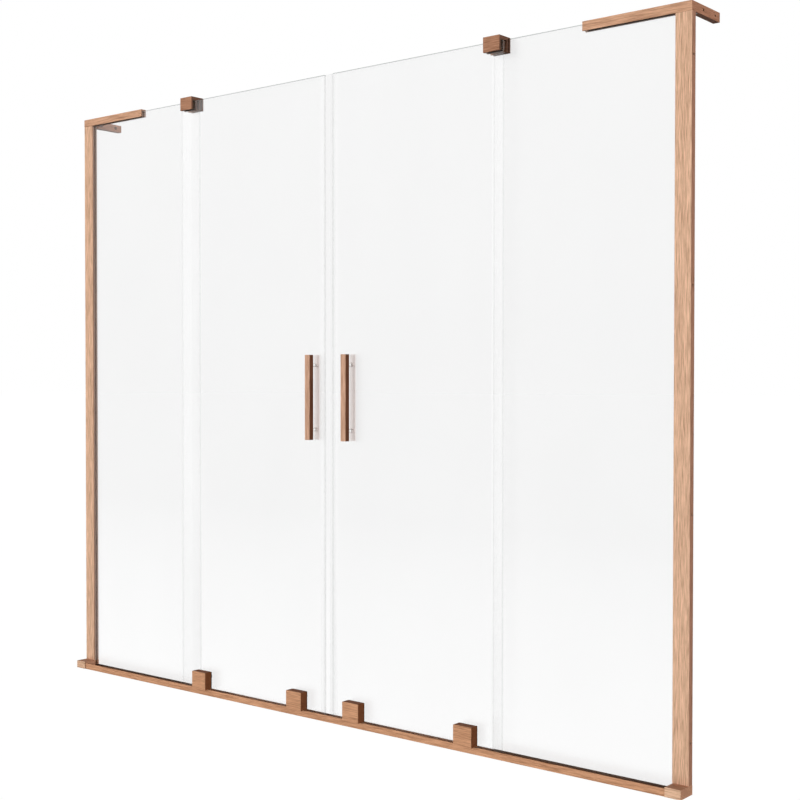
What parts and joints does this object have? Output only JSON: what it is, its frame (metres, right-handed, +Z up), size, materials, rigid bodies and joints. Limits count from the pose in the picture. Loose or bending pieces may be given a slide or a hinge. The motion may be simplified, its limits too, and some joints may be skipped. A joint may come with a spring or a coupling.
{
  "type": "sliding bath screen",
  "caption": "Framed glass bath screen: fixed panes in wall posts at the ends, sliding panes that roll on a bottom rail and meet in the middle, with bar handles.",
  "frame": {"origin": "middle of the rail's underside, on the rim of the bath", "axes": "+X along the bath to the right, +Y towards the bath, +Z up"},
  "size_m": [1.8, 0.1605, 1.5],
  "materials": {
    "brushed_copper": "brushed, copper-coloured coating, grain along each bar",
    "clear_glass": "clear safety glass",
    "clear_seal": "clear soft plastic",
    "dark_rubber": "matt",
    "white_nylon": "moulded",
    "stainless_steel": "satin"
  },
  "bodies": {
    "frame": {"bottom_rail": "brushed_copper", "rail_end_cap_left": "brushed_copper", "rail_end_cap_right": "brushed_copper", "wall_post_left": "brushed_copper", "wall_post_right": "brushed_copper", "top_channel_left": "brushed_copper", "top_channel_right": "brushed_copper", "wall_bar_left": "brushed_copper", "wall_bar_right": "brushed_copper", "bar_end_plugs": "brushed_copper", "top_guide_left": "brushed_copper", "top_guide_right": "brushed_copper", "wall_channel_left": "brushed_copper", "wall_channel_right": "brushed_copper", "fixed_glass_left": "clear_glass", "fixed_glass_right": "clear_glass", "fixed_edge_seals": "clear_seal", "post_liners": "dark_rubber", "rail_liners": "dark_rubber", "top_liners": "dark_rubber", "door_stops": "dark_rubber", "guide_glides": "dark_rubber", "corner_cleats": "stainless_steel", "cleat_screws": "stainless_steel", "guide_screws": "stainless_steel"},
    "left_door": {"sliding_glass_left": "clear_glass", "door_sweep_left": "clear_seal", "handle_bar_left": "brushed_copper", "handle_back_left": "brushed_copper", "handle_mounts_left": "stainless_steel", "clamp_pads_left": "dark_rubber", "glass_bolts_left": "stainless_steel", "wheel_axles_left": "stainless_steel", "carriage_cover_left_outer": "brushed_copper", "carriage_cover_left_inner": "brushed_copper", "carriage_chassis_left_outer": "stainless_steel", "carriage_chassis_left_inner": "stainless_steel", "meeting_seal": "clear_seal"},
    "right_door": {"sliding_glass_right": "clear_glass", "door_sweep_right": "clear_seal", "handle_bar_right": "brushed_copper", "handle_back_right": "brushed_copper", "handle_mounts_right": "stainless_steel", "clamp_pads_right": "dark_rubber", "glass_bolts_right": "stainless_steel", "wheel_axles_right": "stainless_steel", "carriage_cover_right_outer": "brushed_copper", "carriage_cover_right_inner": "brushed_copper", "carriage_chassis_right_outer": "stainless_steel", "carriage_chassis_right_inner": "stainless_steel", "meeting_strip": "clear_seal"},
    "left_outer_wheel": {"wheel_left_outer": "white_nylon", "wheel_bearing_left_outer": "stainless_steel"},
    "left_inner_wheel": {"wheel_left_inner": "white_nylon", "wheel_bearing_left_inner": "stainless_steel"},
    "right_outer_wheel": {"wheel_right_outer": "white_nylon", "wheel_bearing_right_outer": "stainless_steel"},
    "right_inner_wheel": {"wheel_right_inner": "white_nylon", "wheel_bearing_right_inner": "stainless_steel"}
  },
  "joints": [
    {"name": "left_door_slide", "type": "slide", "parent": "frame", "child": "left_door", "axis": [1, 0, 0], "range_m": [-0.35, 0]},
    {"name": "right_door_slide", "type": "slide", "parent": "frame", "child": "right_door", "axis": [1, 0, 0], "range_m": [0, 0.35]},
    {"name": "left_outer_wheel_spin", "type": "hinge", "parent": "left_door", "child": "left_outer_wheel", "pos_m": [-0.404, -0.01675, 0.0193], "axis": [0, 1, 0], "range_deg": [-1337, 0]},
    {"name": "left_inner_wheel_spin", "type": "hinge", "parent": "left_door", "child": "left_inner_wheel", "pos_m": [-0.081, -0.01675, 0.0193], "axis": [0, 1, 0], "range_deg": [-1337, 0]},
    {"name": "right_outer_wheel_spin", "type": "hinge", "parent": "right_door", "child": "right_outer_wheel", "pos_m": [0.404, -0.01675, 0.0193], "axis": [0, 1, 0], "range_deg": [0, 1337]},
    {"name": "right_inner_wheel_spin", "type": "hinge", "parent": "right_door", "child": "right_inner_wheel", "pos_m": [0.0935, -0.01675, 0.0193], "axis": [0, 1, 0], "range_deg": [0, 1337]}
  ],
  "couplings": [
    {"joint": "left_outer_wheel_spin", "follows": "left_door_slide", "rad_per_m": 66.667},
    {"joint": "left_inner_wheel_spin", "follows": "left_door_slide", "rad_per_m": 66.667},
    {"joint": "right_outer_wheel_spin", "follows": "right_door_slide", "rad_per_m": 66.667},
    {"joint": "right_inner_wheel_spin", "follows": "right_door_slide", "rad_per_m": 66.667}
  ]
}
